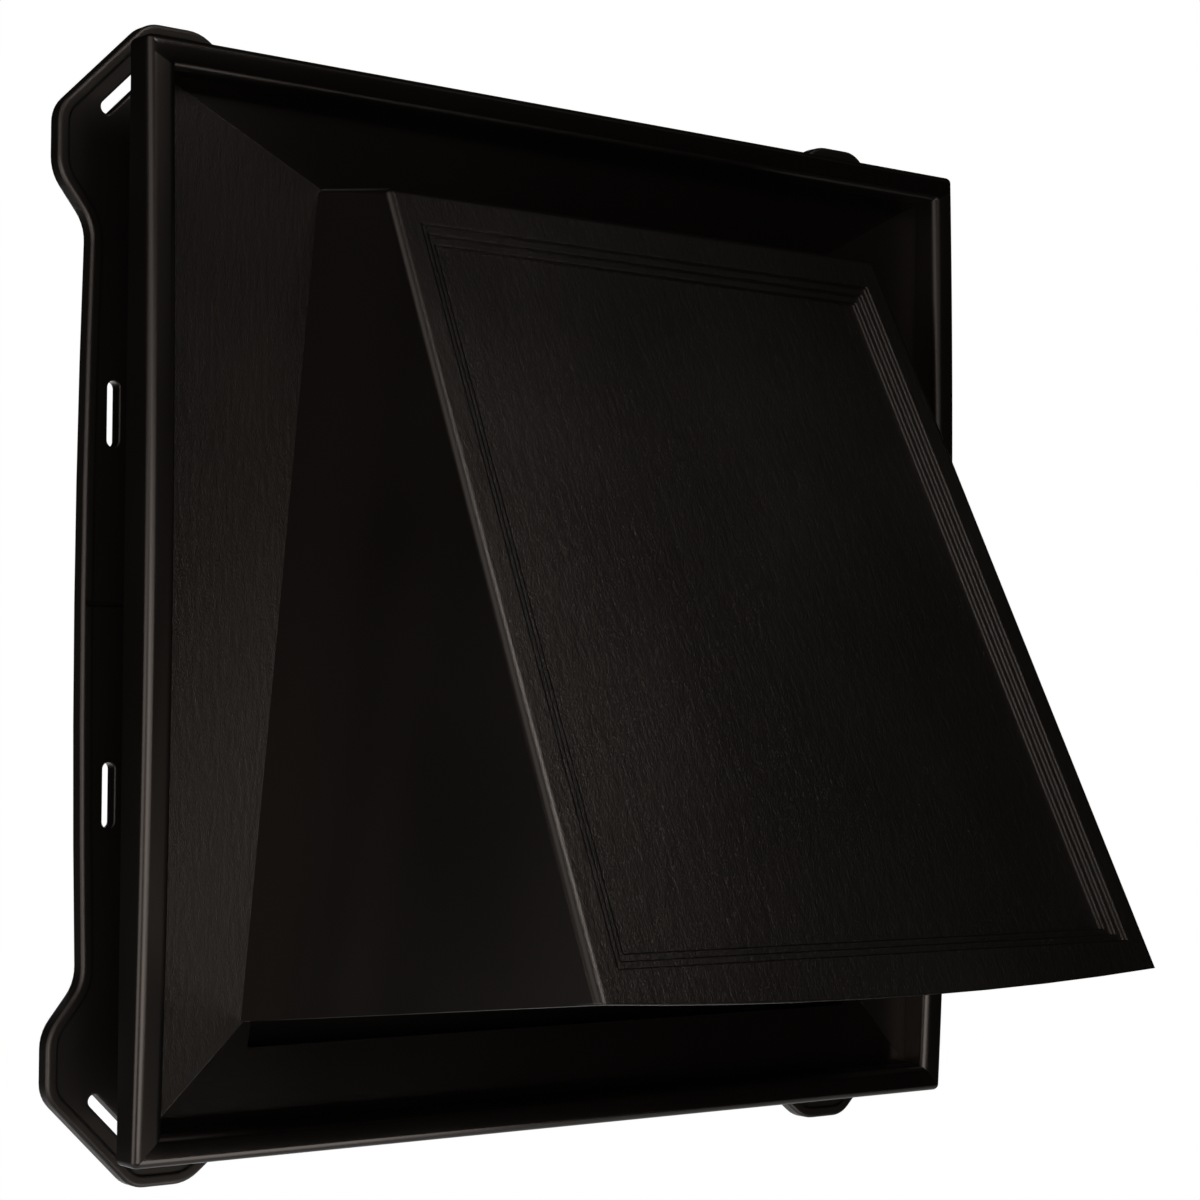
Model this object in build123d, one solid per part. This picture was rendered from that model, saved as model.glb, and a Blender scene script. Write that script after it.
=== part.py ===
from build123d import *
import os
from math import atan, cos, degrees, hypot, radians, sin, sqrt, tan

# Hooded siding vent, millimetres. The wall is the plane y = 0, the front faces -Y and +Z is up. The origin
# is on the duct's axis in the wall plane. "Out" is the distance from the wall, "reach" the distance from
# the ring's front, both towards -Y.

# Trim ring: a square bead round the cover's face, bowed forward at half its height
RING_HALF = 95.0
RING_OUT = 21.7
RING_BOW = 2.0
BEAD_WIDTH = 5.4
BEAD_DEPTH = 6.0
BEAD_ROUND = 1.5
BEAD_INNER_ROUND = 1.6
RING_CORNER_ROUND = 1.2

# Face of the cover inside the bead: four facets that rise gently to the hood
FACE_DROP = 5.3
FACE_WALL = 2.0
FACE_TUCK = 2.0
SIDE_FACET_ANGLE = 3.5

# Hood: front panel from its top edge to its tip, a sloped shelf above, drafted sides, open mouth below, whose
# edge bows down in the middle. The margins are those of the panel's corners inside the ring's edges.
HOOD_TOP_MARGIN = 23.5
HOOD_SIDE_MARGIN = 37.5
HOOD_FOOT_MARGIN = 33.4
HOOD_TOP_REACH = 15.9
HOOD_TIP_REACH = 84.5
HOOD_SHELF_ANGLE = 7.0
HOOD_MOUTH_ANGLE = 6.9
HOOD_MOUTH_BOW = 2.0
HOOD_DRAFT_ANGLE = 5.0
HOOD_FLARE_ANGLE = 5.15
HOOD_WALL = 2.0
HOOD_ROUND = 1.5

# Recess of the front panel, sunk in equal steps inside a plain border
PANEL_TOP_BORDER = 6.6
PANEL_SIDE_BORDER = 5.3
PANEL_FOOT_BORDER = 5.6
PANEL_STEPS = 3
PANEL_STEP_WIDTH = 1.5
PANEL_STEP_DEPTH = 0.75
PANEL_WALL = 1.4

# Skirt behind the face, which slides into the base and snaps behind its windows
SKIRT_CLEARANCE = 0.4
SKIRT_WALL = 1.6
SKIRT_END_OUT = 5.0
BARB_WIDTH = 9.0
BARB_HEIGHT = 1.2
BARB_LENGTH = 2.6
BARB_SHOULDER_OUT = 10.0
BARB_SPACING = 90.0
BARB_PLAY = 0.6

# Nailing flange, as wide as the ring, with an ear that stands proud of it at each corner
FLANGE_BOW = 1.0
FLANGE_WALL = 2.5
FLANGE_ROUND = 0.6
RIM_WIDTH = 2.0
RIM_HEIGHT = 0.4
EAR_PROUD = 6.6
EAR_CHAMFER_LEG = 16.8
EAR_SIDE = 11.1
EAR_SWEEP = 8.4
EAR_SWEEP_ROUND = 8.0
EAR_CORNER_ROUND = 6.0

# Nail slots along the sides and across the ears, at a distance inside the edge, and the centre marks
SLOT_LENGTH = 11.5
SLOT_WIDTH = 2.4
SLOT_SPACING = 66.0
SIDE_SLOT_EDGE = 4.7
EAR_SLOT_EDGE = 5.9
MARK_WIDTH = 0.8
MARK_DEPTH = 0.6

# Siding channel between flange and ring, and the base's box wall at its bottom
CHANNEL_DEPTH = 11.4
BOX_WALL = 2.0
BOX_FACE_GAP = 0.5

# Duct collar behind the wall and the flap's seat in front of it
COLLAR_RADIUS = 49.2
COLLAR_WALL = 2.0
COLLAR_LENGTH = 40.0
COLLAR_LEAD = 1.0
SEAT_WALL = 2.5
SEAT_HEIGHT = 3.0

# Back-draft flap, its hinge rod and the snap-in ears that hold the rod
FLAP_SEAT_GAP = 0.3
FLAP_OVERLAP = 1.0
FLAP_WALL = 1.6
FLAP_RIM_WIDTH = 1.6
FLAP_RIM_HEIGHT = 1.2
FLAP_NECK_GAP = 4.0
ROD_RADIUS = 2.0
ROD_RISE = 8.3
ROD_SET_BACK = 1.2
ROD_END = 2.0
HINGE_PLAY = 0.3
HINGE_EAR_WALL = 2.2
HINGE_EAR_WIDTH = 4.0
HINGE_EAR_CENTRE = 40.0
HINGE_MOUTH = 3.4

# Places that follow from the sizes above
FACE_HALF = RING_HALF - BEAD_WIDTH
FACE_OUT = RING_OUT - FACE_DROP
HOOD_TOP_HEIGHT = RING_HALF - HOOD_TOP_MARGIN
HOOD_TOP_HALF = RING_HALF - HOOD_SIDE_MARGIN
HOOD_TIP_HEIGHT = HOOD_FOOT_MARGIN - RING_HALF
BOX_HALF = RING_HALF - CHANNEL_DEPTH
EAR_HALF = RING_HALF + EAR_PROUD
EAR_CHAMFER = EAR_HALF - EAR_CHAMFER_LEG
EAR_SHOULDER = EAR_CHAMFER - EAR_SIDE
EAR_ROOT = EAR_SHOULDER - EAR_SWEEP
SIDE_SLOT_PLACE = RING_HALF - SIDE_SLOT_EDGE
EAR_SLOT_PLACE = (EAR_HALF + EAR_CHAMFER) / 2 - EAR_SLOT_EDGE * sqrt(0.5)
BORE_RADIUS = COLLAR_RADIUS - COLLAR_WALL
SEAT_RADIUS = BORE_RADIUS + SEAT_WALL
SEAT_OUT = FLANGE_WALL + SEAT_HEIGHT
FLAP_OUT = SEAT_OUT + FLAP_SEAT_GAP
FLAP_RADIUS = SEAT_RADIUS + FLAP_OVERLAP
ROD_OUT = FLAP_OUT + FLAP_WALL / 2 - ROD_SET_BACK
ROD_HEIGHT = SEAT_RADIUS + ROD_RISE
ROD_HALF = HINGE_EAR_CENTRE + HINGE_EAR_WIDTH / 2 + ROD_END
FLAP_NECK_HALF = HINGE_EAR_CENTRE - HINGE_EAR_WIDTH / 2 - FLAP_NECK_GAP
SKIRT_HALF = BOX_HALF - BOX_WALL - SKIRT_CLEARANCE
PANEL_ANGLE = degrees(atan((HOOD_TIP_REACH - HOOD_TOP_REACH) / (HOOD_TOP_HEIGHT - HOOD_TIP_HEIGHT)))
PANEL_LENGTH = hypot(HOOD_TIP_REACH - HOOD_TOP_REACH, HOOD_TOP_HEIGHT - HOOD_TIP_HEIGHT)
PANEL_RECESS = PANEL_STEPS * PANEL_STEP_DEPTH
BEYOND = 20.0
TOLERANCE = 1e-3
QUARTER_TURNS = [Rot(0, 90 * quarter, 0) for quarter in range(4)]


def at_out(out):
    """The sketch plane parallel to the wall at a distance from it; it extrudes towards the front."""
    return Plane.XZ.offset(out)


def slab(sketch, from_out, to_out):
    """A sketch of the wall plane, made solid between two distances from the wall."""
    return extrude(at_out(from_out) * sketch, amount=to_out - from_out)


def square_tube(outer_half, wall, from_out, to_out):
    """A square frame round the duct's axis."""
    inner_half = outer_half - wall
    section = Rectangle(2 * outer_half, 2 * outer_half) - Rectangle(2 * inner_half, 2 * inner_half)
    return slab(section, from_out, to_out)


def behind(block, planes):
    """The part of a block that lies behind every plane."""
    for plane in planes:
        block = split(block, bisect_by=plane, keep=Keep.BOTTOM)
    return block


def edges_between(shape, first, second):
    """The edges of a shape that lie in both planes."""

    def lies_in(plane, edge):
        return all(abs(plane.to_local_coords(vertex.center()).Z) < TOLERANCE for vertex in edge.vertices())

    return [edge for edge in shape.edges() if lies_in(first, edge) and lies_in(second, edge)]


def hood_half(reach, height):
    """Half the hood's outer width at a reach and height: the sides close in towards the front and top."""
    closing = tan(radians(HOOD_DRAFT_ANGLE)) * (reach - HOOD_TOP_REACH)
    flaring = tan(radians(HOOD_FLARE_ANGLE)) * (HOOD_TOP_HEIGHT - height)
    return HOOD_TOP_HALF - closing + flaring


def hood_base(reach, height, slope):
    """Where a side edge of the hood, followed back at its slope, meets the side facet: reach and height."""
    closing = tan(radians(HOOD_DRAFT_ANGLE)) + tan(radians(HOOD_FLARE_ANGLE)) * slope
    rise = tan(radians(SIDE_FACET_ANGLE))
    facet_reach = rise * (FACE_HALF - hood_half(reach, height)) - FACE_DROP
    run = (facet_reach - reach) / (1 - rise * closing)
    return reach + run, height + slope * run


def hood_planes():
    """The hood's outer planes, each with its normal outwards: front, shelf, right, left and mouth."""
    top = (0, -RING_OUT - HOOD_TOP_REACH, HOOD_TOP_HEIGHT)
    tip = (0, -RING_OUT - HOOD_TIP_REACH, HOOD_TIP_HEIGHT)
    panel = radians(PANEL_ANGLE)
    shelf = radians(HOOD_SHELF_ANGLE)
    mouth = radians(HOOD_MOUTH_ANGLE)
    draft = tan(radians(HOOD_DRAFT_ANGLE))
    flare = tan(radians(HOOD_FLARE_ANGLE))
    across = (1, 0, 0)
    return {
        "front": Plane(top, across, (0, -cos(panel), sin(panel))),
        "shelf": Plane(top, across, (0, -sin(shelf), cos(shelf))),
        "right": Plane((HOOD_TOP_HALF, top[1], top[2]), z_dir=(1, -draft, flare)),
        "left": Plane((-HOOD_TOP_HALF, top[1], top[2]), z_dir=(-1, -draft, flare)),
        "mouth": Plane(tip, across, (0, -sin(mouth), -cos(mouth))),
    }


def facet_planes():
    """The four planes of the face; their creases run from the bead's corners to the hood's corners."""
    shelf_reach, shelf_height = hood_base(
        HOOD_TOP_REACH, HOOD_TOP_HEIGHT, -tan(radians(HOOD_SHELF_ANGLE))
    )
    mouth_reach, mouth_height = hood_base(
        HOOD_TIP_REACH, HOOD_TIP_HEIGHT, tan(radians(HOOD_MOUTH_ANGLE))
    )
    side = radians(SIDE_FACET_ANGLE)
    top = atan((shelf_reach + FACE_DROP) / (FACE_HALF - shelf_height))
    foot = atan((mouth_reach + FACE_DROP) / (FACE_HALF + mouth_height))
    return [
        Plane((FACE_HALF, -FACE_OUT, 0), z_dir=(sin(side), -cos(side), 0)),
        Plane((-FACE_HALF, -FACE_OUT, 0), z_dir=(-sin(side), -cos(side), 0)),
        Plane((0, -FACE_OUT, FACE_HALF), z_dir=(0, -cos(top), sin(top))),
        Plane((0, -FACE_OUT, -FACE_HALF), z_dir=(0, -cos(foot), -sin(foot))),
    ]


def face_plate():
    """The faceted face of even thickness, tucked under the bead."""
    side = 2 * (FACE_HALF + FACE_TUCK)
    block = slab(Rectangle(side, side), FACE_OUT - FACE_WALL, RING_OUT + BEYOND)
    face = behind(block, facet_planes())
    return face - Pos(0, FACE_WALL, 0) * face


def below_mouth():
    """The space below the hood's mouth; its bowed edge runs through the tip's two corners."""
    slope = radians(HOOD_MOUTH_ANGLE)
    tip = (0, -RING_OUT - HOOD_TIP_REACH, HOOD_TIP_HEIGHT)
    inwards = Plane(tip, x_dir=(1, 0, 0), z_dir=(0, cos(slope), -sin(slope)))
    end = HOOD_MOUTH_BOW * (1 - (RING_HALF / hood_half(HOOD_TIP_REACH, HOOD_TIP_HEIGHT)) ** 2)
    profile = [
        ThreePointArc((-RING_HALF, end), (0, HOOD_MOUTH_BOW), (RING_HALF, end)),
        Polyline((RING_HALF, end), (RING_HALF, RING_HALF), (-RING_HALF, RING_HALF), (-RING_HALF, end)),
    ]
    return extrude(inwards * make_face(profile), amount=RING_OUT + HOOD_TIP_REACH, both=True)


def hood_block(planes, from_out):
    """The solid wedge behind the hood's planes, from a distance off the wall."""
    side = 2 * RING_HALF
    block = slab(Rectangle(side, side), from_out, RING_OUT + HOOD_TIP_REACH + BEYOND)
    return behind(block, planes)


def panel_outline(inset):
    """The recess outline on the front panel, one inset inside its border; the top edge is y = 0."""
    top = -PANEL_TOP_BORDER - inset
    foot = PANEL_FOOT_BORDER + inset - PANEL_LENGTH
    widen = (hood_half(HOOD_TIP_REACH, HOOD_TIP_HEIGHT) - HOOD_TOP_HALF) / PANEL_LENGTH
    top_half = HOOD_TOP_HALF - widen * top - PANEL_SIDE_BORDER - inset
    foot_half = HOOD_TOP_HALF - widen * foot - PANEL_SIDE_BORDER - inset
    corners = [(-top_half, top), (top_half, top), (foot_half, foot), (-foot_half, foot)]
    return make_face(Polyline(*corners, close=True))


def hood_shell_on(face):
    """The face with the hood standing on it: hollow, open to the back and at the mouth."""
    planes = hood_planes()
    outside = [planes[name] for name in ("front", "shelf", "right", "left")]
    inside = [plane.offset(-HOOD_WALL) for plane in outside]
    mouth = planes["mouth"].offset(HOOD_WALL + HOOD_MOUTH_BOW)
    shape = face + (hood_block(outside, FACE_OUT) - below_mouth())
    shape -= hood_block([*inside, mouth], 0)
    rounded = []
    for first, second in (("front", "right"), ("front", "left"), ("front", "shelf"),
                          ("shelf", "right"), ("shelf", "left")):
        rounded += edges_between(shape, planes[first], planes[second])
    shape = fillet(rounded, HOOD_ROUND)
    front = planes["front"]
    backing = PANEL_RECESS + PANEL_WALL - HOOD_WALL
    shape += extrude(front.offset(-HOOD_WALL) * panel_outline(0), amount=-backing)
    for step in range(PANEL_STEPS):
        outline = panel_outline(step * PANEL_STEP_WIDTH)
        shape -= extrude(front * outline, amount=-(step + 1) * PANEL_STEP_DEPTH)
    return shape


def front_frame(shape):
    """The foremost face that goes right round an opening."""
    frames = [face for face in shape.faces() if face.inner_wires()]
    return min(frames, key=lambda face: face.center().Y)


def ring_bead():
    """The square bead with its bowed front, rounded along both front edges and at the corners."""
    back = RING_OUT - BEAD_DEPTH
    top = (-RING_OUT, RING_HALF)
    foot = (-RING_OUT, -RING_HALF)
    profile = [
        ThreePointArc(top, (-RING_OUT - RING_BOW, 0), foot),
        Polyline(foot, (-back, -RING_HALF), (-back, RING_HALF), top),
    ]
    bowed = extrude(Plane.YZ * make_face(profile), amount=RING_HALF, both=True)
    bead = bowed & square_tube(RING_HALF, BEAD_WIDTH, back, RING_OUT + BEYOND)
    corners = bead.edges().filter_by(Axis.Y).sort_by(lambda edge: -abs(edge.center().X))[:4]
    bead = fillet(corners, RING_CORNER_ROUND)
    bead = fillet(front_frame(bead).outer_wire().edges(), BEAD_ROUND)
    return fillet(front_frame(bead).inner_wires()[0].edges(), BEAD_INNER_ROUND)


def barb():
    """One snap barb on the skirt's top side: a square shoulder in front, a ramp towards the wall."""
    ramp_out = BARB_SHOULDER_OUT - BARB_LENGTH
    profile = Polyline(
        (-ramp_out, SKIRT_HALF - SKIRT_WALL / 2),
        (-ramp_out, SKIRT_HALF),
        (-BARB_SHOULDER_OUT, SKIRT_HALF + BARB_HEIGHT),
        (-BARB_SHOULDER_OUT, SKIRT_HALF - SKIRT_WALL / 2),
        close=True,
    )
    return extrude(Plane.YZ * make_face(profile), amount=BARB_WIDTH / 2, both=True)


def barb_window():
    """The opening in the base's top wall that one barb snaps into."""
    length = BARB_LENGTH + 2 * BARB_PLAY
    middle = BARB_SHOULDER_OUT - BARB_LENGTH / 2
    block = Box(BARB_WIDTH + 2 * BARB_PLAY, length, 2 * BOX_WALL)
    return Pos(0, -middle, BOX_HALF - BOX_WALL / 2) * block


def on_every_side(shape):
    """A pair of one shape on the top side, repeated on all four sides."""
    pair = [Pos(side * BARB_SPACING / 2, 0, 0) * shape for side in (-1, 1)]
    return [turn * piece for turn in QUARTER_TURNS for piece in pair]


def hood_cover():
    """Ring, faceted face, hood and skirt in one moulding."""
    mid_wall = [plane.offset(-FACE_WALL / 2) for plane in facet_planes()]
    skirt = behind(square_tube(SKIRT_HALF, SKIRT_WALL, SKIRT_END_OUT, RING_OUT + BEYOND), mid_wall)
    cover = hood_shell_on(face_plate()) + ring_bead() + skirt
    return cover + on_every_side(barb())


def flange_outline():
    """The flange seen from the front: four bowed sides and four chamfered, rounded ears."""
    tip = (EAR_HALF, EAR_CHAMFER)
    shoulder = (EAR_HALF, EAR_SHOULDER)
    root = (RING_HALF, EAR_ROOT)
    side = [
        Line((tip[0], -tip[1]), (shoulder[0], -shoulder[1])),
        Line((shoulder[0], -shoulder[1]), (root[0], -root[1])),
        ThreePointArc((root[0], -root[1]), (RING_HALF + FLANGE_BOW, 0), root),
        Line(root, shoulder),
        Line(shoulder, tip),
        Line(tip, (tip[1], tip[0])),
    ]
    face = make_face([Rot(0, 0, 90 * quarter) * edge for quarter in range(4) for edge in side])

    def nearest_to_axes(corner):
        return min(abs(corner.X), abs(corner.Y))

    sweeps = [corner for corner in face.vertices() if nearest_to_axes(corner) < EAR_CHAMFER - TOLERANCE]
    face = fillet(sweeps, EAR_SWEEP_ROUND)
    tips = [corner for corner in face.vertices() if abs(nearest_to_axes(corner) - EAR_CHAMFER) < TOLERANCE]
    return fillet(tips, EAR_CORNER_ROUND)


def nail_slots():
    """All slots of the flange: two along each side and one across each ear."""
    side_slot = SlotOverall(SLOT_LENGTH, SLOT_WIDTH)
    slots = []
    for quarter in range(4):
        turn = Rot(0, 0, 90 * quarter)
        slots += [turn * Pos(place * SLOT_SPACING / 2, SIDE_SLOT_PLACE) * side_slot for place in (-1, 1)]
        slots.append(turn * Pos(EAR_SLOT_PLACE, EAR_SLOT_PLACE) * Rot(0, 0, -45) * side_slot)
    return slots


def centre_marks():
    """Grooves at the middle of each side, cut through the rim and into the flange up to the box wall."""
    middle = RING_HALF - CHANNEL_DEPTH / 2
    depth = MARK_DEPTH + RIM_HEIGHT
    mark = Pos(middle, -FLANGE_WALL - RIM_HEIGHT + depth / 2, 0) * Box(CHANNEL_DEPTH, depth, MARK_WIDTH)
    return [turn * mark for turn in QUARTER_TURNS]


def nailing_flange():
    """The flat flange and back plate with its raised rim, slots, marks and duct opening."""
    outline = flange_outline()
    plate = slab(outline, 0, FLANGE_WALL + RIM_HEIGHT)
    plate = fillet(plate.faces().sort_by(Axis.Y)[0].outer_wire().edges(), FLANGE_ROUND)
    plate -= slab(offset(outline, -RIM_WIDTH), FLANGE_WALL, FLANGE_WALL + RIM_HEIGHT + BEYOND)
    for slot in nail_slots():
        plate -= slab(slot, -BEYOND, BEYOND)
    plate -= centre_marks()
    return plate - slab(Circle(BORE_RADIUS), -BEYOND, BEYOND)


def duct_collar():
    """The tube that the duct slides over, with a lead-in at its end."""
    tube = slab(Circle(COLLAR_RADIUS) - Circle(BORE_RADIUS), -COLLAR_LENGTH, 0)
    end = tube.faces().sort_by(Axis.Y)[-1]
    return chamfer(end.outer_wire().edges(), COLLAR_LEAD)


def hinge_ear():
    """One snap-in ear for the flap's rod, open to the front."""
    socket = ROD_RADIUS + HINGE_PLAY
    around = socket + HINGE_EAR_WALL
    centre = Pos(-ROD_OUT, ROD_HEIGHT)
    foot = ROD_OUT - FLANGE_WALL / 2
    ear = centre * Circle(around) + centre * Pos(foot / 2, 0) * Rectangle(foot, 2 * around)
    ear -= centre * Circle(socket)
    ear -= centre * Pos(-around / 2, 0) * Rectangle(around, HINGE_MOUTH)
    solid = extrude(Plane.YZ * ear, amount=HINGE_EAR_WIDTH / 2, both=True)
    return solid - slab(Rectangle(2 * RING_HALF, 2 * RING_HALF), -BEYOND, FLANGE_WALL / 2)


def mounting_base():
    """Flange, box wall, flap seat, hinge ears and duct collar in one moulding."""
    front = FACE_OUT - FACE_WALL - BOX_FACE_GAP
    box = square_tube(BOX_HALF, BOX_WALL, FLANGE_WALL, front)
    box -= on_every_side(barb_window())
    seat = slab(Circle(SEAT_RADIUS) - Circle(BORE_RADIUS), FLANGE_WALL, SEAT_OUT)
    ears = [Pos(side * HINGE_EAR_CENTRE, 0, 0) * hinge_ear() for side in (-1, 1)]
    return nailing_flange() + [box, seat, duct_collar(), *ears]


def damper_flap():
    """The round flap on its hinge rod, stiffened by a rim."""
    neck_height = ROD_HEIGHT
    neck = Pos(0, neck_height / 2) * Rectangle(2 * FLAP_NECK_HALF, neck_height)
    flap = slab(Circle(FLAP_RADIUS) + neck, FLAP_OUT, FLAP_OUT + FLAP_WALL)
    rim = Circle(FLAP_RADIUS) - Circle(FLAP_RADIUS - FLAP_RIM_WIDTH) - neck
    flap += slab(rim, FLAP_OUT + FLAP_WALL, FLAP_OUT + FLAP_WALL + FLAP_RIM_HEIGHT)
    rod = extrude(Plane.YZ * Pos(-ROD_OUT, ROD_HEIGHT) * Circle(ROD_RADIUS), amount=ROD_HALF, both=True)
    return flap + rod


os.makedirs("parts", exist_ok=True)
for node in (mounting_base, hood_cover, damper_flap):
    export_step(node(), f"parts/{node.__name__}.step")
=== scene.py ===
"""Dresses the moulded siding vent and sets it in a white studio, seen from its front left."""

import logging
import math
from dataclasses import dataclass, field
from enum import Enum

import bpy
from mathutils import Matrix, Vector


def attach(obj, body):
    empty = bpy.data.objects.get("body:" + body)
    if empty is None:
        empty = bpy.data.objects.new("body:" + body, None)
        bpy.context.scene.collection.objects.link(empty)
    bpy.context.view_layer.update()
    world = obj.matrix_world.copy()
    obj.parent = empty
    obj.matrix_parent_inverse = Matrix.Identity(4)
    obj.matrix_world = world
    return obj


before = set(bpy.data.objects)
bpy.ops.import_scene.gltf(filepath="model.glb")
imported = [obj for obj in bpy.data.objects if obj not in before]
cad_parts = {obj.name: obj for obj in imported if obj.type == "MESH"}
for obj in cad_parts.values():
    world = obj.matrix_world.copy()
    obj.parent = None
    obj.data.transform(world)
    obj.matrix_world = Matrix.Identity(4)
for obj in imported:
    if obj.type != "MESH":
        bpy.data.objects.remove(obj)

LOG = logging.getLogger("siding_vent")
Colour = tuple[float, float, float]
Point = tuple[float, float, float]


class GrainRun(Enum):
    """The way the embossed wood grain runs on a member of the cover: its stretch along x, y and z."""

    UPRIGHT = (1.0, 1.0, 0.24)
    LEVEL = (0.24, 1.0, 1.0)


class Body(Enum):
    """The bodies that pieces ride on."""

    HOUSING = "housing"
    DAMPER = "damper"


class NodeGraph:
    """A node tree with short ways to add and join its nodes."""

    def __init__(self, tree: bpy.types.NodeTree) -> None:
        """Empties the tree.

        Args:
            tree: the node tree of a material, a world or a group.
        """
        self.tree = tree
        self.tree.nodes.clear()

    def add(self, kind: str, **settings: object) -> bpy.types.Node:
        """Adds one node.

        Args:
            kind: the node's type name.
            settings: properties to set on it.

        Returns:
            The new node.
        """
        node = self.tree.nodes.new(kind)
        for name, value in settings.items():
            setattr(node, name, value)
        return node

    def feed(self, socket: bpy.types.NodeSocket, source: object) -> None:
        """Joins a socket to another socket's output, or sets its constant.

        Args:
            socket: the input to fill.
            source: an output socket, or a plain value.
        """
        if isinstance(source, bpy.types.NodeSocket):
            self.tree.links.new(source, socket)
        else:
            socket.default_value = source

    def math(self, operation: str, *values: object) -> bpy.types.NodeSocket:
        """Adds a Math node.

        Args:
            operation: the name of the operation.
            values: its inputs, sockets or numbers.

        Returns:
            The result's socket.
        """
        node = self.add("ShaderNodeMath", operation=operation)
        for socket, value in zip(node.inputs, values):
            self.feed(socket, value)
        return node.outputs[0]

    def blend(self, factor: object, first: object, second: object) -> bpy.types.NodeSocket:
        """Mixes two numbers.

        Args:
            factor: 0 gives the first, 1 the second.
            first: a socket or a number.
            second: a socket or a number.

        Returns:
            The result's socket.
        """
        node = self.add("ShaderNodeMix", data_type="FLOAT")
        for index, value in ((0, factor), (2, first), (3, second)):
            self.feed(node.inputs[index], value)
        return node.outputs[0]

    def smooth_step(self, value: object, start: float, end: float) -> bpy.types.NodeSocket:
        """Rises smoothly from 0 at one value to 1 at another.

        Args:
            value: the socket that is read.
            start: where the result is 0.
            end: where the result is 1.

        Returns:
            The result's socket.
        """
        node = self.add("ShaderNodeMapRange", interpolation_type="SMOOTHSTEP")
        self.feed(node.inputs["Value"], value)
        node.inputs["From Min"].default_value = start
        node.inputs["From Max"].default_value = end
        return node.outputs["Result"]

    def noise(self, place: object, scale: Point, detail: float = 2.0) -> bpy.types.NodeSocket:
        """Noise in a stretched copy of a place.

        Args:
            place: the coordinates' socket.
            scale: cycles per metre along each axis.
            detail: octaves added to the first.

        Returns:
            The noise, from 0 to 1.
        """
        stretch = self.add("ShaderNodeVectorMath", operation="MULTIPLY")
        self.feed(stretch.inputs[0], place)
        stretch.inputs[1].default_value = scale
        texture = self.add("ShaderNodeTexNoise")
        self.feed(texture.inputs["Vector"], stretch.outputs[0])
        texture.inputs["Scale"].default_value = 1.0
        texture.inputs["Detail"].default_value = detail
        return texture.outputs["Fac"]

    def parts(self, vector: bpy.types.NodeSocket) -> tuple[bpy.types.NodeSocket, ...]:
        """The x, y and z sockets of a vector."""
        node = self.add("ShaderNodeSeparateXYZ")
        self.feed(node.inputs[0], vector)
        return tuple(node.outputs)


@dataclass(frozen=True)
class SatinPlastic:
    """Smooth moulded plastic, near black: a little uneven in gloss, with the mould's fine stipple."""

    name: str
    tint: Colour = (0.0017, 0.0012, 0.001)
    sheen_tint: Colour = (1.0, 0.86, 0.77)
    roughness: float = 0.4
    roughness_spread: float = 0.06
    specular: float = 0.5
    stipple_depth: float = 0.000012
    stipple_cycles: float = 1400.0
    flow_cycles: float = 22.0
    edge_round: float = 0.0006
    edge_samples: int = 6

    def relief(self, graph: NodeGraph, place: bpy.types.NodeSocket) -> bpy.types.NodeSocket:
        """The surface's height in metres.

        Args:
            graph: the material's nodes.
            place: the object coordinates.

        Returns:
            The height's socket.
        """
        stipple = graph.noise(place, (self.stipple_cycles,) * 3)
        return graph.math("MULTIPLY", stipple, self.stipple_depth)

    def gloss(self, graph: NodeGraph, place: bpy.types.NodeSocket) -> bpy.types.NodeSocket:
        """The surface's roughness, uneven where the melt flowed.

        Args:
            graph: the material's nodes.
            place: the object coordinates.

        Returns:
            The roughness's socket.
        """
        flow = graph.noise(place, (self.flow_cycles,) * 3)
        spread = self.roughness_spread
        return graph.blend(flow, self.roughness - spread, self.roughness + spread)

    def edge_radius(self, graph: NodeGraph, place: bpy.types.NodeSocket) -> object:
        """The radius of the small rounds that the mould leaves on edges: here the same everywhere."""
        return self.edge_round

    def material(self) -> bpy.types.Material:
        """Builds the finish.

        Returns:
            The new material.
        """
        made = bpy.data.materials.new(self.name)
        made.use_nodes = True
        graph = NodeGraph(made.node_tree)
        place = graph.add("ShaderNodeTexCoord").outputs["Object"]
        shader = graph.add("ShaderNodeBsdfPrincipled")
        shader.inputs["Base Color"].default_value = (*self.tint, 1.0)
        shader.inputs["Specular IOR Level"].default_value = self.specular
        shader.inputs["Specular Tint"].default_value = (*self.sheen_tint, 1.0)
        graph.feed(shader.inputs["Roughness"], self.gloss(graph, place))
        bump = graph.add("ShaderNodeBump")
        bump.inputs["Strength"].default_value = 1.0
        bump.inputs["Distance"].default_value = 1.0
        graph.feed(bump.inputs["Height"], self.relief(graph, place))
        edges = graph.add("ShaderNodeBevel", samples=self.edge_samples)
        graph.feed(edges.inputs["Radius"], self.edge_radius(graph, place))
        graph.feed(bump.inputs["Normal"], edges.outputs["Normal"])
        graph.feed(shader.inputs["Normal"], bump.outputs["Normal"])
        output = graph.add("ShaderNodeOutputMaterial")
        graph.feed(output.inputs["Surface"], shader.outputs["BSDF"])
        return made


@dataclass(frozen=True)
class Crease:
    """A crease of the face from the bead's corner to the hood's: height = slope * half width + rise."""

    slope: float
    rise: float


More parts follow.
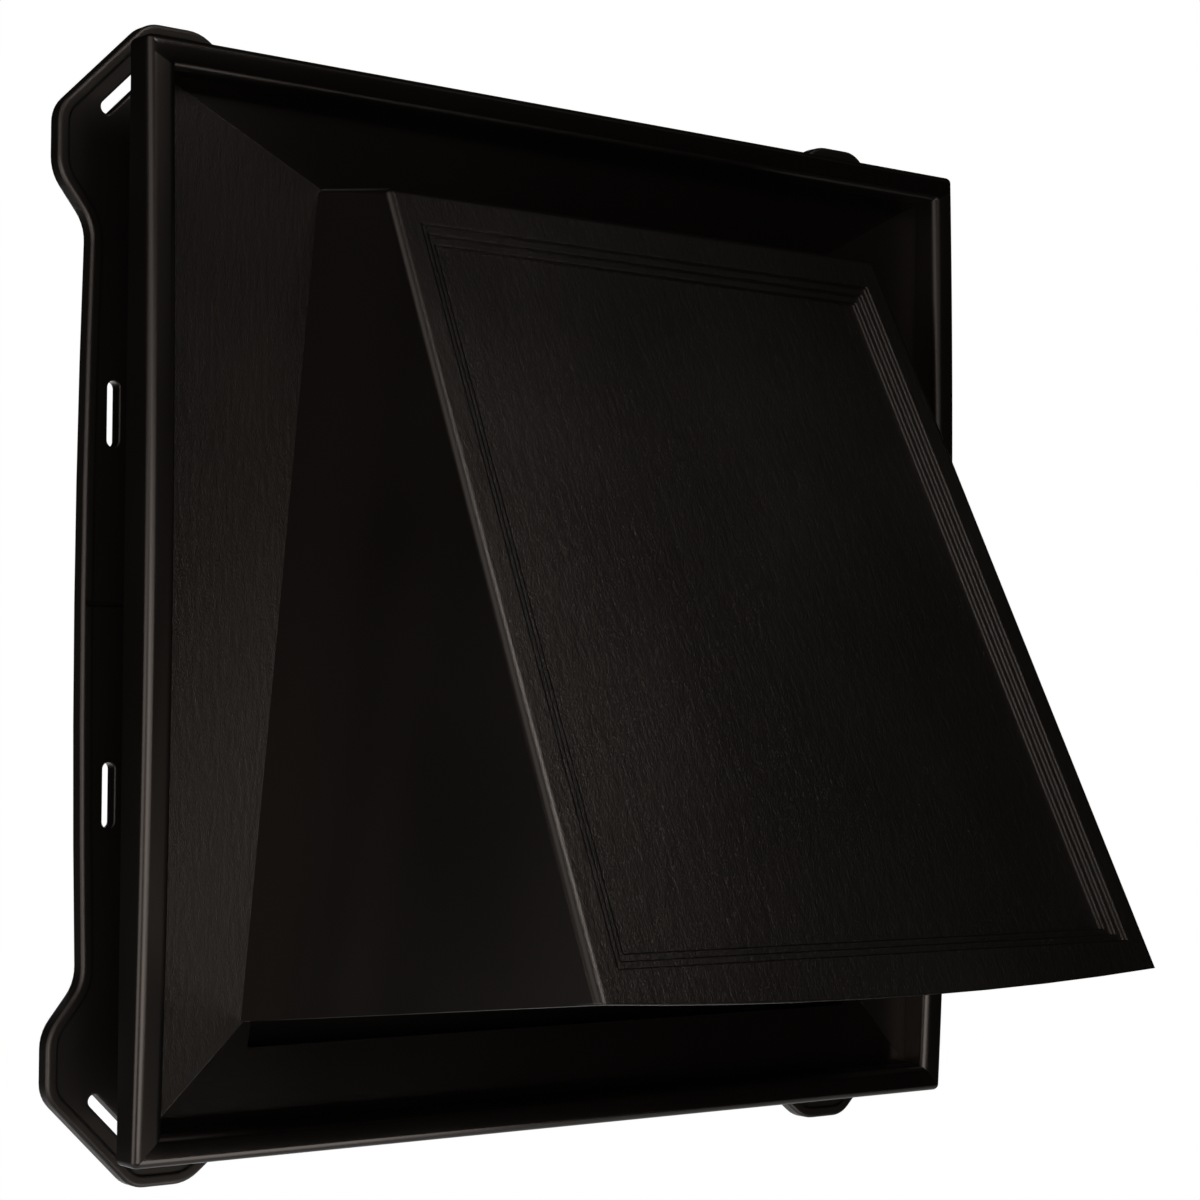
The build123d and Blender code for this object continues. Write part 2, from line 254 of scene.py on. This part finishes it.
@dataclass(frozen=True)
class GrainedPlastic(SatinPlastic):
    """Satin plastic embossed with wood grain that runs along each member of the face and down the panel."""

    pore_depth: float = 0.000014
    pore_cycles: float = 900.0
    pore_edges: tuple[float, float] = (0.3, 0.6)
    fibre_depth: float = 0.00004
    fibre_cycles: float = 8000.0
    panel_share: float = 0.8
    level_depth: float = 0.25
    level_gloss: float = 0.6
    upper_crease: Crease = Crease(0.5136, 0.04358)
    lower_crease: Crease = Crease(0.9935, 0.00058)
    crease_blur: float = 0.0002
    front_start: float = 0.6
    front_end: float = 0.8
    face_start: float = 0.93
    face_end: float = 0.97
    panel_lean: float = math.radians(27.27)
    panel_back: tuple[float, float] = (-0.0625, -0.0605)
    bead_start: float = 0.0892
    bead_end: float = 0.0898

    def facing(self, graph: NodeGraph) -> bpy.types.NodeSocket:
        """How squarely a surface faces the front, 1 when it is square to it."""
        normal = graph.add("ShaderNodeNewGeometry").outputs["Normal"]
        return graph.math("MULTIPLY", graph.parts(normal)[1], -1.0)

    def leaning(self, graph: NodeGraph, place: bpy.types.NodeSocket) -> bpy.types.NodeSocket:
        """The place turned so that the leaning panel stands upright in it.

        Args:
            graph: the material's nodes.
            place: the object coordinates.

        Returns:
            The turned place's socket.
        """
        turned = graph.add("ShaderNodeMapping")
        graph.feed(turned.inputs["Vector"], place)
        turned.inputs["Rotation"].default_value = (self.panel_lean, 0.0, 0.0)
        return turned.outputs["Vector"]

    def edge_radius(self, graph: NodeGraph, place: bpy.types.NodeSocket) -> object:
        """The radius of the rounds on the panel's steps; the creases of the face stay sharp.

        Args:
            graph: the material's nodes.
            place: the object coordinates.

        Returns:
            The radius's socket.
        """
        depth = graph.parts(self.leaning(graph, place))[1]
        return graph.blend(graph.smooth_step(depth, *self.panel_back), self.edge_round, 0.0)

    def inside_bead(self, graph: NodeGraph, place: bpy.types.NodeSocket) -> bpy.types.NodeSocket:
        """Tells the grained face and hood from the smooth bead round them.

        Args:
            graph: the material's nodes.
            place: the object coordinates.

        Returns:
            1 inside the bead, 0 on it.
        """
        across, _, height = graph.parts(place)
        reach = graph.math("MAXIMUM", graph.math("ABSOLUTE", across), graph.math("ABSOLUTE", height))
        return graph.math("SUBTRACT", 1.0, graph.smooth_step(reach, self.bead_start, self.bead_end))

    def level_share(self, graph: NodeGraph, place: bpy.types.NodeSocket) -> bpy.types.NodeSocket:
        """Tells the members above and below the hood from those beside it.

        Args:
            graph: the material's nodes.
            place: the object coordinates.

        Returns:
            1 on the level members, 0 on the upright ones.
        """
        across, _, height = graph.parts(place)
        half = graph.math("ABSOLUTE", across)
        above = graph.math("SUBTRACT", height, graph.math(
            "MULTIPLY_ADD", half, self.upper_crease.slope, self.upper_crease.rise))
        depth = graph.math("MULTIPLY", height, -1.0)
        below = graph.math("SUBTRACT", depth, graph.math(
            "MULTIPLY_ADD", half, self.lower_crease.slope, self.lower_crease.rise))
        return graph.smooth_step(graph.math("MAXIMUM", above, below), -self.crease_blur, self.crease_blur)

    def streaks(self, graph: NodeGraph, place: bpy.types.NodeSocket, run: GrainRun) -> bpy.types.NodeSocket:
        """Grain lines in one direction.

        Args:
            graph: the material's nodes.
            place: the coordinates to grain.
            run: the way the grain runs.

        Returns:
            The grain's height in metres: broad pores and the fine fibres between them.
        """
        pores = graph.noise(place, tuple(self.pore_cycles * share for share in run.value), 1.0)
        fibres = graph.noise(place, tuple(self.fibre_cycles * share for share in run.value), 1.0)
        height = graph.math("MULTIPLY", graph.smooth_step(pores, *self.pore_edges), self.pore_depth)
        return graph.math("MULTIPLY_ADD", fibres, self.fibre_depth, height)

    def gloss(self, graph: NodeGraph, place: bpy.types.NodeSocket) -> bpy.types.NodeSocket:
        """The surface's roughness, which is less on the level members.

        Args:
            graph: the material's nodes.
            place: the object coordinates.

        Returns:
            The roughness's socket.
        """
        face = graph.smooth_step(self.facing(graph), self.face_start, self.face_end)
        level = graph.math("MULTIPLY", self.level_share(graph, place), face)
        plain = super().gloss(graph, place)
        return graph.math("MULTIPLY", plain, graph.blend(level, 1.0, self.level_gloss))

    def relief(self, graph: NodeGraph, place: bpy.types.NodeSocket) -> bpy.types.NodeSocket:
        """The surface's height in metres: grain on the front, stipple everywhere.

        Args:
            graph: the material's nodes.
            place: the object coordinates.

        Returns:
            The height's socket.
        """
        facing = self.facing(graph)
        front = graph.math("MULTIPLY", graph.smooth_step(facing, self.front_start, self.front_end),
                           self.inside_bead(graph, place))
        face = graph.smooth_step(facing, self.face_start, self.face_end)
        upright = self.streaks(graph, place, GrainRun.UPRIGHT)
        level = self.streaks(graph, place, GrainRun.LEVEL)
        panel = self.streaks(graph, self.leaning(graph, place), GrainRun.UPRIGHT)
        faint = graph.math("MULTIPLY", level, self.level_depth)
        members = graph.blend(self.level_share(graph, place), upright, faint)
        grain = graph.blend(face, graph.math("MULTIPLY", panel, self.panel_share), members)
        return graph.math("MULTIPLY_ADD", grain, front, super().relief(graph, place))


@dataclass
class CadPiece:
    """One moulding of the frame with its finish."""

    node: str
    finish: SatinPlastic

    def dress(self) -> bpy.types.Object:
        """Gives the moulding its finish.

        Returns:
            The dressed node.
        """
        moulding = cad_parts[self.node]
        moulding.data.materials.clear()
        moulding.data.materials.append(self.finish.material())
        LOG.info("dressed %s in %s", self.node, self.finish.name)
        return moulding


@dataclass
class BeadSkin:
    """An evenly divided skin close over the ring's bead, so that light runs unbroken along its rounds."""

    cover: bpy.types.Object
    ring_half: float = 0.095
    ring_out: float = 0.0217
    ring_bow: float = 0.002
    corner_round: float = 0.0012
    bead_width: float = 0.0054
    back_out: float = 0.0157
    foot_out: float = 0.0162
    outer_round: float = 0.0015
    inner_round: float = 0.0016
    lift: float = 0.00003
    side_steps: int = 48
    corner_steps: int = 6
    round_steps: int = 9

    def profile(self) -> list[tuple[float, float]]:
        """The bead's section from its outer to its inner side.

        Returns:
            Pairs of inset from the outer side and drop behind the front.
        """
        outer = self.outer_round + self.lift
        inner = self.inner_round + self.lift
        crown = self.bead_width - self.inner_round + self.lift
        turns = [math.pi / 2 * step / self.round_steps for step in range(self.round_steps + 1)]
        rise = [(outer * (1 - math.sin(turn)), outer * (1 - math.cos(turn))) for turn in reversed(turns)]
        return rise + [(crown + inner * math.sin(turn), inner * (1 - math.cos(turn))) for turn in turns]

    def outline(self, inset: float) -> list[tuple[float, float]]:
        """The ring's outline at an inset: places across and up, anticlockwise from the right side's foot.

        Args:
            inset: the distance inside the outer side.

        Returns:
            The places, with the same number at every inset.
        """
        half = self.ring_half + self.lift - inset
        bend = max(self.corner_round - inset, 0.0)
        run = half - bend
        side = [(half, run * (2 * step / self.side_steps - 1)) for step in range(self.side_steps + 1)]
        for step in range(1, self.corner_steps):
            turn = math.pi / 2 * step / self.corner_steps
            side.append((run + bend * math.cos(turn), run + bend * math.sin(turn)))
        places = []
        for _ in range(4):
            places += side
            side = [(-height, across) for across, height in side]
        return places

    def front(self, height: float) -> float:
        """The bowed front's place along y at a height."""
        return -self.ring_out - self.ring_bow * (1 - (height / self.ring_half) ** 2) - self.lift

    def lay(self) -> bpy.types.Object:
        """Makes the skin as one mesh that rides on the housing.

        Returns:
            The piece.
        """
        section = self.profile()
        rows = [[(x, -self.back_out, z) for x, z in self.outline(section[0][0])]]
        for inset, drop in section:
            rows.append([(x, self.front(z) + drop, z) for x, z in self.outline(inset)])
        rows.append([(x, -self.foot_out, z) for x, z in self.outline(section[-1][0])])
        corners = [corner for row in rows for corner in row]
        count = len(rows[0])
        faces = []
        for row in range(len(rows) - 1):
            for place in range(count):
                ahead = (place + 1) % count
                low, high = row * count, (row + 1) * count
                face = (low + place, low + ahead, high + ahead, high + place)
                if len({corners[index] for index in face}) > 2:
                    faces.append(face)
        mesh = bpy.data.meshes.new("ring_bead_skin")
        mesh.from_pydata(corners, [], faces)
        mesh.shade_smooth()
        mesh.materials.append(self.cover.data.materials[0])
        piece = bpy.data.objects.new("ring_bead_skin", mesh)
        bpy.context.scene.collection.objects.link(piece)
        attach(piece, Body.HOUSING.value)
        LOG.info("laid %s with %d faces", piece.name, len(faces))
        return piece


@dataclass
class MouldMarks:
    """A ring of shallow round marks that the mould's ejector pins leave on one moulding."""

    name: str
    body: Body
    slot: str
    moulding: bpy.types.Object
    surface_out: float
    ring_radius: float
    count: int
    mark_radius: float = 0.0025
    thickness: float = 0.0003
    least_size: Point = (0.97, 0.97, 0.7)
    facets: int = 32
    seed: int = 7

    def inputs(self) -> dict[str, float]:
        """The values of the tree's inputs by name."""
        return {
            "Count": self.count,
            "Ring Radius": self.ring_radius,
            "Mark Radius": self.mark_radius,
            "Thickness": self.thickness,
            "Surface Out": self.surface_out,
        }

    def tree(self) -> bpy.types.NodeTree:
        """Builds the tree that sets one flat disc on each point of a ring round the duct's axis.

        Returns:
            The new tree, with one input for each named value.
        """
        made = bpy.data.node_groups.new(f"{self.name}_tree", "GeometryNodeTree")
        graph = NodeGraph(made)
        made.interface.new_socket("Geometry", in_out="OUTPUT", socket_type="NodeSocketGeometry")
        for label, value in self.inputs().items():
            kind = "NodeSocketInt" if isinstance(value, int) else "NodeSocketFloat"
            made.interface.new_socket(label, in_out="INPUT", socket_type=kind)
        given = graph.add("NodeGroupInput").outputs
        ring = graph.add("GeometryNodeMeshCircle")
        graph.feed(ring.inputs["Vertices"], given["Count"])
        graph.feed(ring.inputs["Radius"], given["Ring Radius"])
        disc = graph.add("GeometryNodeMeshCylinder")
        graph.feed(disc.inputs["Vertices"], self.facets)
        graph.feed(disc.inputs["Radius"], given["Mark Radius"])
        graph.feed(disc.inputs["Depth"], given["Thickness"])
        size = graph.add("FunctionNodeRandomValue", data_type="FLOAT_VECTOR")
        graph.feed(size.inputs[0], self.least_size)
        graph.feed(size.inputs[1], (1.0, 1.0, 1.0))
        graph.feed(size.inputs["Seed"], self.seed)
        marks = graph.add("GeometryNodeInstanceOnPoints")
        graph.feed(marks.inputs["Points"], ring.outputs["Mesh"])
        graph.feed(marks.inputs["Instance"], disc.outputs["Mesh"])
        graph.feed(marks.inputs["Scale"], size.outputs[0])
        shift = graph.add("ShaderNodeCombineXYZ")
        graph.feed(shift.inputs["Y"], graph.math("MULTIPLY", given["Surface Out"], -1.0))
        stood = graph.add("GeometryNodeTransform")
        graph.feed(stood.inputs["Geometry"], marks.outputs["Instances"])
        graph.feed(stood.inputs["Translation"], shift.outputs[0])
        graph.feed(stood.inputs["Rotation"], (math.pi / 2, math.pi / self.count, 0.0))
        real = graph.add("GeometryNodeRealizeInstances")
        graph.feed(real.inputs["Geometry"], stood.outputs["Geometry"])
        dressed = graph.add("GeometryNodeSetMaterial")
        graph.feed(dressed.inputs["Geometry"], real.outputs["Geometry"])
        graph.feed(dressed.inputs["Material"], self.moulding.data.materials[0])
        graph.feed(graph.add("NodeGroupOutput").inputs["Geometry"], dressed.outputs["Geometry"])
        return made

    def press(self) -> bpy.types.Object:
        """Makes the marks as one plain mesh that rides on the moulding's body.

        Returns:
            The piece.
        """
        piece = bpy.data.objects.new(self.name, bpy.data.meshes.new(self.name))
        bpy.context.scene.collection.objects.link(piece)
        tree = self.tree()
        modifier = piece.modifiers.new(self.name, "NODES")
        modifier.node_group = tree
        values = self.inputs()
        for item in tree.interface.items_tree:
            if item.in_out == "INPUT":
                modifier[item.identifier] = values[item.name]
        grown = piece.evaluated_get(bpy.context.evaluated_depsgraph_get())
        mesh = bpy.data.meshes.new_from_object(grown)
        piece.modifiers.clear()
        piece.data = mesh
        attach(piece, self.body.value)
        LOG.info("pressed %d marks as %s", self.count, self.name)
        return piece


@dataclass
class Softbox:
    """One rectangular studio lamp."""

    name: str
    place: Point
    aim: Point
    width: float
    height: float
    watts: float

    def hang(self) -> bpy.types.Object:
        """Puts the lamp in the scene.

        Returns:
            The lamp.
        """
        lamp = bpy.data.lights.new(self.name, "AREA")
        lamp.shape = "RECTANGLE"
        lamp.size = self.width
        lamp.size_y = self.height
        lamp.energy = self.watts
        holder = bpy.data.objects.new(self.name, lamp)
        holder.location = self.place
        holder.rotation_mode = "QUATERNION"
        holder.rotation_quaternion = (Vector(self.aim) - Vector(self.place)).to_track_quat("-Z", "Y")
        holder.visible_camera = False
        bpy.context.scene.collection.objects.link(holder)
        LOG.info("hung lamp %s", self.name)
        return holder


VENT_MIDDLE: Point = (0.0, -0.04, 0.0)
HOOD_MOUTH: Point = (0.0, -0.04, -0.02)
SOFTBOXES: tuple[Softbox, ...] = (
    Softbox("panel_softbox", (0.093, -0.662, 0.602), VENT_MIDDLE, 0.3, 0.3, 2.2),
    Softbox("facet_softbox", (-0.156, -0.884, -0.063), VENT_MIDDLE, 0.3, 0.3, 0.8),
    Softbox("foot_softbox", (-0.544, -0.696, -0.172), VENT_MIDDLE, 0.55, 0.55, 3.5),
    Softbox("flank_softbox", (-0.876, 0.092, -0.187), VENT_MIDDLE, 0.5, 0.5, 1.8),
    Softbox("edge_softbox", (-0.727, -0.355, 0.395), VENT_MIDDLE, 0.7, 1.1, 2.4),
    Softbox("rear_softbox", (0.232, 0.865, -0.094), VENT_MIDDLE, 0.6, 0.6, 3.0),
    Softbox("under_softbox", (0.099, -0.312, -0.345), HOOD_MOUTH, 0.25, 0.25, 0.6),
    Softbox("right_softbox", (0.599, 0.665, -0.094), VENT_MIDDLE, 0.6, 0.6, 1.0),
)


@dataclass
class Studio:
    """The pale floor, the white surround, the lamps and the camera."""

    floor_height: float = -0.42
    floor_half: float = 5.0
    floor_front: float = -0.2
    floor_colour: Colour = (0.9, 0.9, 0.9)
    floor_glow: float = 0.96
    floor_fade: tuple[float, float] = (0.3, 1.6)
    ambient: float = 0.004
    backdrop_start: float = 0.96
    backdrop_end: float = 0.995
    softboxes: tuple[Softbox, ...] = field(default_factory=lambda: SOFTBOXES)
    eye: Point = (-0.3292, -0.4394, -0.0185)
    heading: float = math.radians(-38.49)
    pitch: float = math.radians(89.915)
    roll: float = math.radians(0.766)
    sensor_width: float = 36.0
    lens: float = 85.077
    lift: float = 0.102
    clip_start: float = 0.01

    def seen_white(self, graph: NodeGraph, way: bpy.types.NodeSocket) -> bpy.types.NodeSocket:
        """Tells where the studio is white: all round to the camera, behind the vent in mirrored light.

        Args:
            graph: the nodes of the floor or the surround.
            way: the way from the vent to the point that is seen.

        Returns:
            1 where it is white, 0 where it is dim.
        """
        ahead = graph.add("ShaderNodeVectorMath", operation="NORMALIZE")
        graph.feed(ahead.inputs[0], way)
        away = graph.add("ShaderNodeVectorMath", operation="DOT_PRODUCT")
        graph.feed(away.inputs[0], ahead.outputs[0])
        away.inputs[1].default_value = (-math.sin(self.heading), math.cos(self.heading), 0.0)
        backdrop = graph.smooth_step(away.outputs["Value"], self.backdrop_start, self.backdrop_end)
        rays = graph.add("ShaderNodeLightPath")
        mirrored = graph.math("MAXIMUM", rays.outputs["Is Glossy Ray"], rays.outputs["Is Transmission Ray"])
        behind = graph.math("MULTIPLY", mirrored, backdrop)
        return graph.math("MAXIMUM", rays.outputs["Is Camera Ray"], behind)

    def lay_floor(self) -> bpy.types.Object:
        """Makes the floor, which stays near white for the camera and keeps a soft shadow.

        Returns:
            The floor.
        """
        half = self.floor_half
        corners = [(-half, self.floor_front), (half, self.floor_front), (half, half), (-half, half)]
        mesh = bpy.data.meshes.new("studio_floor")
        mesh.from_pydata([(x, y, self.floor_height) for x, y in corners], [], [(0, 1, 2, 3)])
        floor = bpy.data.objects.new("studio_floor", mesh)
        bpy.context.scene.collection.objects.link(floor)
        made = bpy.data.materials.new("pale_floor")
        made.use_nodes = True
        graph = NodeGraph(made.node_tree)
        paint = graph.add("ShaderNodeBsdfDiffuse")
        paint.inputs["Color"].default_value = (*self.floor_colour, 1.0)
        glow = graph.add("ShaderNodeEmission")
        place = graph.add("ShaderNodeTexCoord").outputs["Object"]
        seen = self.seen_white(graph, place)
        across, along, _ = graph.parts(place)
        squares = graph.math("MULTIPLY_ADD", across, across, graph.math("MULTIPLY", along, along))
        reach = graph.math("SQRT", squares)
        white = graph.blend(graph.smooth_step(reach, *self.floor_fade), self.floor_glow, 1.0)
        mix = graph.add("ShaderNodeMixShader")
        graph.feed(mix.inputs[0], graph.math("MULTIPLY", seen, white))
        graph.feed(mix.inputs[1], paint.outputs[0])
        graph.feed(mix.inputs[2], glow.outputs[0])
        output = graph.add("ShaderNodeOutputMaterial")
        graph.feed(output.inputs["Surface"], mix.outputs[0])
        mesh.materials.append(made)
        return floor

    def surround(self) -> bpy.types.World:
        """Makes the surround: white to the camera and behind the vent, a dim room elsewhere.

        Returns:
            The world.
        """
        world = bpy.data.worlds.new("white_studio")
        world.use_nodes = True
        graph = NodeGraph(world.node_tree)
        white = self.seen_white(graph, graph.add("ShaderNodeTexCoord").outputs["Generated"])
        room = graph.add("ShaderNodeBackground")
        room.inputs["Strength"].default_value = self.ambient
        bright = graph.add("ShaderNodeBackground")
        for shade in (room, bright):
            shade.inputs["Color"].default_value = (1.0, 1.0, 1.0, 1.0)
        mix = graph.add("ShaderNodeMixShader")
        graph.feed(mix.inputs[0], white)
        graph.feed(mix.inputs[1], room.outputs[0])
        graph.feed(mix.inputs[2], bright.outputs[0])
        output = graph.add("ShaderNodeOutputWorld")
        graph.feed(output.inputs["Surface"], mix.outputs[0])
        bpy.context.scene.world = world
        return world

    def stand_camera(self) -> bpy.types.Object:
        """Puts the camera at the picture's viewpoint.

        Returns:
            The camera.
        """
        view = bpy.data.cameras.new("front_left_camera")
        view.sensor_width = self.sensor_width
        view.lens = self.lens
        view.shift_y = self.lift
        view.clip_start = self.clip_start
        camera = bpy.data.objects.new("front_left_camera", view)
        turn = Matrix.Rotation(self.heading, 4, "Z") @ Matrix.Rotation(self.pitch, 4, "X")
        camera.matrix_world = Matrix.Translation(self.eye) @ turn @ Matrix.Rotation(self.roll, 4, "Z")
        bpy.context.scene.collection.objects.link(camera)
        bpy.context.scene.camera = camera
        return camera

    def build(self) -> None:
        """Builds the whole studio."""
        self.lay_floor()
        self.surround()
        for softbox in self.softboxes:
            softbox.hang()
        self.stand_camera()
        bpy.context.scene.view_settings.view_transform = "Standard"
        LOG.info("built the studio")


def main() -> None:
    """Builds the vent's pieces in order, then the studio."""
    logging.basicConfig(level=logging.INFO, format="%(message)s")
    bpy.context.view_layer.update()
    pieces = (
        CadPiece("mounting_base", SatinPlastic("black_base_plastic", roughness=0.38)),
        CadPiece("hood_cover", GrainedPlastic("black_grained_plastic", roughness=0.3)),
        CadPiece("damper_flap", SatinPlastic("black_flap_plastic", roughness=0.42)),
    )
    base, cover, flap = [piece.dress() for piece in pieces]
    BeadSkin(cover).lay()
    marks = (
        MouldMarks("base_mould_marks", Body.HOUSING, "base_plastic", base,
                   surface_out=0.0025, ring_radius=0.066, count=12),
        MouldMarks("flap_mould_marks", Body.DAMPER, "flap_plastic", flap,
                   surface_out=0.0074, ring_radius=0.04, count=8),
    )
    for ring in marks:
        ring.press()
    Studio().build()


if __name__ == "__main__":
    main()
